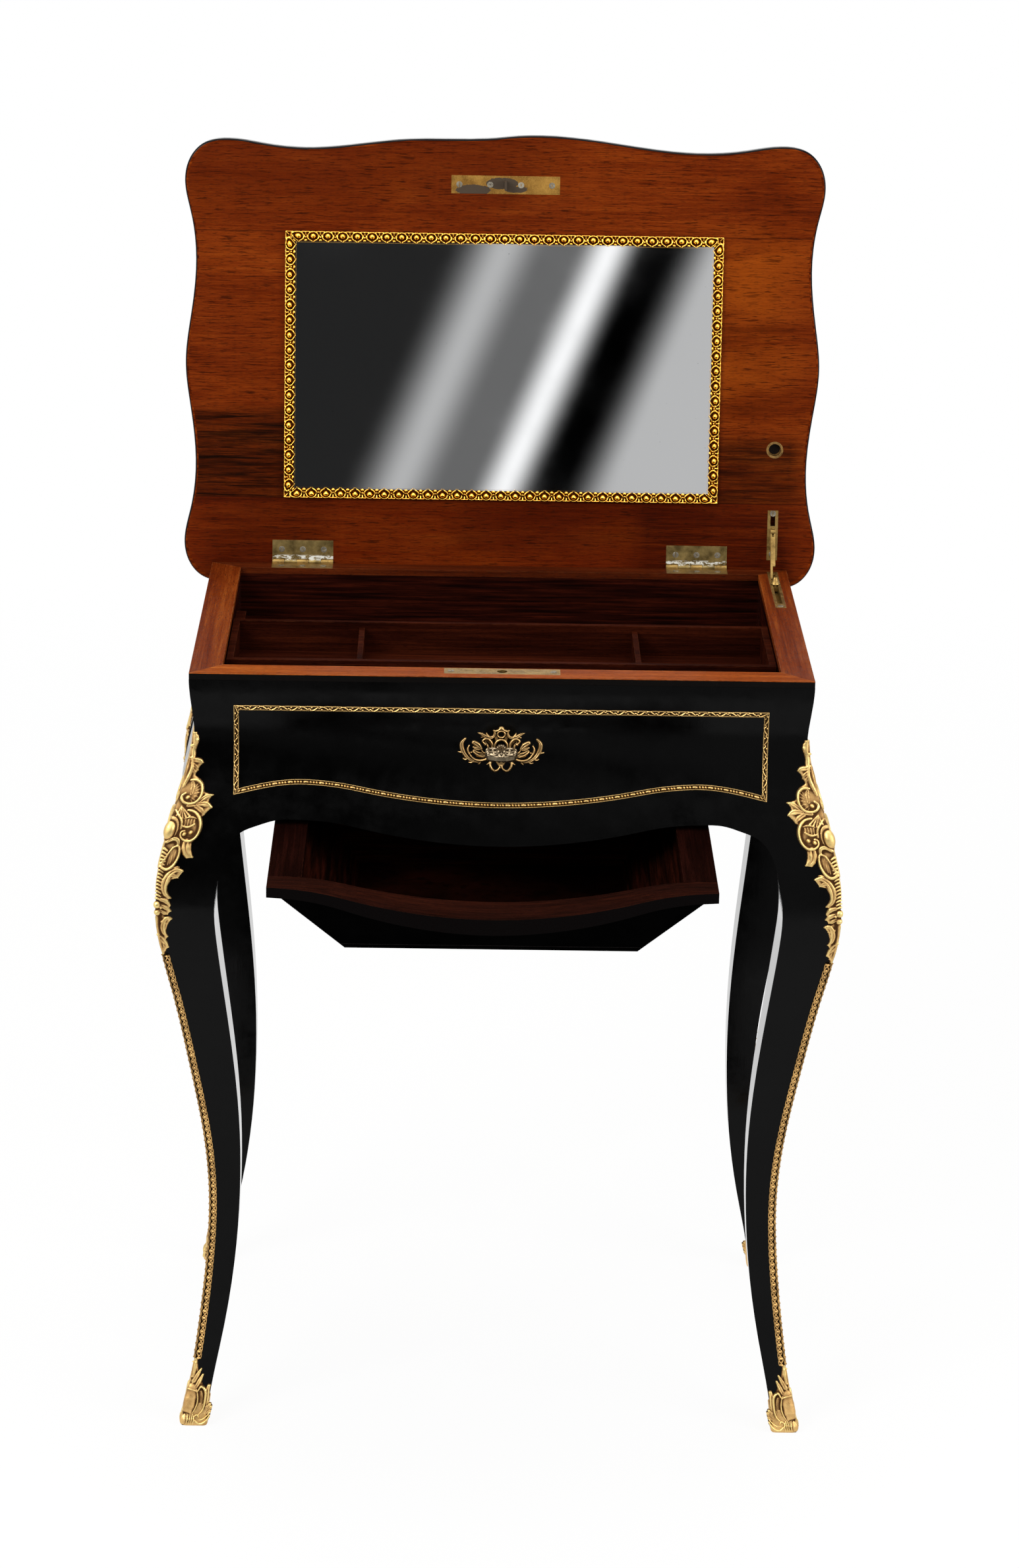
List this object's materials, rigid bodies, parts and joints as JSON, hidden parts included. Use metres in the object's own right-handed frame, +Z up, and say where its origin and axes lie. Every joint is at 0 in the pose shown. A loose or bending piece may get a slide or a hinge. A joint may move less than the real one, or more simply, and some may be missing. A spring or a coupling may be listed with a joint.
{
  "type": "poudreuse dressing table",
  "caption": "Ebonised poudreuse dressing table on cabriole legs with gilt bronze mounts, a mirror inside its lifting lid, a lift-out tray and a sliding work bin under the case.",
  "frame": {"origin": "on the floor, under the middle of the case", "axes": "+Z up, the front faces -Y, +X to the right as seen by somebody in front"},
  "size_m": [0.611, 0.6375, 1.1249],
  "materials": {
    "ebonised_wood": "black French polish, near-satin, worn at the edges",
    "mahogany_rim": "bare mahogany lipping with dark pores",
    "mahogany_veneer": "oiled mahogany veneer, grain across",
    "dark_mahogany": "dark red-brown mahogany, worn",
    "gilt_bronze": "cast gilt bronze, matt, darkened in the hollows",
    "mirror_gilt": "bright gilt egg-and-dart strip",
    "silvered_glass": "old silvered mirror glass",
    "aged_brass": "aged brass, dull with brown wear",
    "screw_steel": "old slotted steel screws",
    "key_steel": "worn silvery steel"
  },
  "bodies": {
    "case": {"bin_runners": "dark_mahogany", "case_back": "ebonised_wood", "case_floor": "dark_mahogany", "case_front": "ebonised_wood", "case_screws": "screw_steel", "case_side_left": "ebonised_wood", "case_side_right": "ebonised_wood", "escutcheon": "gilt_bronze", "hinge_case_leaves": "aged_brass", "knee_mount_back_left": "gilt_bronze", "knee_mount_back_right": "gilt_bronze", "knee_mount_front_left": "gilt_bronze", "knee_mount_front_right": "gilt_bronze", "leg_back_left": "ebonised_wood", "leg_back_right": "ebonised_wood", "leg_front_left": "ebonised_wood", "leg_front_right": "ebonised_wood", "leg_strips": "gilt_bronze", "lock_case": "aged_brass", "lock_plate": "aged_brass", "moulding_back": "gilt_bronze", "moulding_front": "gilt_bronze", "mouldings_side": "gilt_bronze", "rim_back": "mahogany_rim", "rim_front": "mahogany_rim", "rim_left": "mahogany_rim", "rim_right": "mahogany_rim", "sabot_back_left": "gilt_bronze", "sabot_back_right": "gilt_bronze", "sabot_front_left": "gilt_bronze", "sabot_front_right": "gilt_bronze", "stay_channel": "aged_brass", "tray_ledges": "dark_mahogany"},
    "lid": {"lid_panel": "ebonised_wood", "lid_veneer": "mahogany_veneer", "mirror_glass": "silvered_glass", "mirror_frame": "mirror_gilt", "strike_plate": "aged_brass", "hinge_lid_leaves": "aged_brass", "hinge_pins": "screw_steel", "stay_bracket": "aged_brass", "knob_cup": "aged_brass", "lid_screws": "screw_steel"},
    "stay_arm": {"stay_arm": "aged_brass"},
    "stay_slider": {"stay_slider": "aged_brass"},
    "lock_bolt": {"lock_bolt": "screw_steel"},
    "key": {"key": "key_steel"},
    "tray": {"tray_front": "dark_mahogany", "tray_back": "dark_mahogany", "tray_ends": "dark_mahogany", "tray_bottom": "dark_mahogany", "tray_dividers": "dark_mahogany"},
    "bin": {"bin_lip": "dark_mahogany", "bin_rails": "dark_mahogany", "bin_wall_front": "ebonised_wood", "bin_wall_back": "ebonised_wood", "bin_wall_left": "ebonised_wood", "bin_wall_right": "ebonised_wood", "bin_bottom": "ebonised_wood"}
  },
  "joints": [
    {"name": "lid_hinge", "type": "hinge", "parent": "case", "child": "lid", "pos_m": [0, 0.1911, 0.7205], "axis": [-1, 0, 0], "range_deg": [-96, 0]},
    {"name": "stay_arm_pivot", "type": "hinge", "parent": "lid", "child": "stay_arm", "pos_m": [0.26, 0.19088, 0.75672], "axis": [-1, 0, 0], "range_deg": [0, 156.98]},
    {"name": "stay_slide", "type": "slide", "parent": "case", "child": "stay_slider", "axis": [0, 1, 0], "range_m": [-0.0595, 0]},
    {"name": "key_turn", "type": "hinge", "parent": "case", "child": "key", "pos_m": [0, -0.19, 0.655], "axis": [0, -1, 0], "range_deg": [0, 180]},
    {"name": "bolt_slide", "type": "slide", "parent": "case", "child": "lock_bolt", "axis": [1, 0, 0], "range_m": [0, 0.009]},
    {"name": "tray_lift", "type": "slide", "parent": "case", "child": "tray", "axis": [0, 0, 1], "range_m": [0, 0.1]},
    {"name": "bin_slide", "type": "slide", "parent": "case", "child": "bin", "axis": [0, -1, 0], "range_m": [-0.168, 0.04]}
  ],
  "couplings": [
    {"joint": "stay_arm_pivot", "follows": "lid_hinge", "ratio": -1.6351},
    {"joint": "stay_slide", "follows": "lid_hinge", "m_per_rad": 0.035489},
    {"joint": "bolt_slide", "follows": "key_turn", "m_per_rad": 0.0028648}
  ]
}
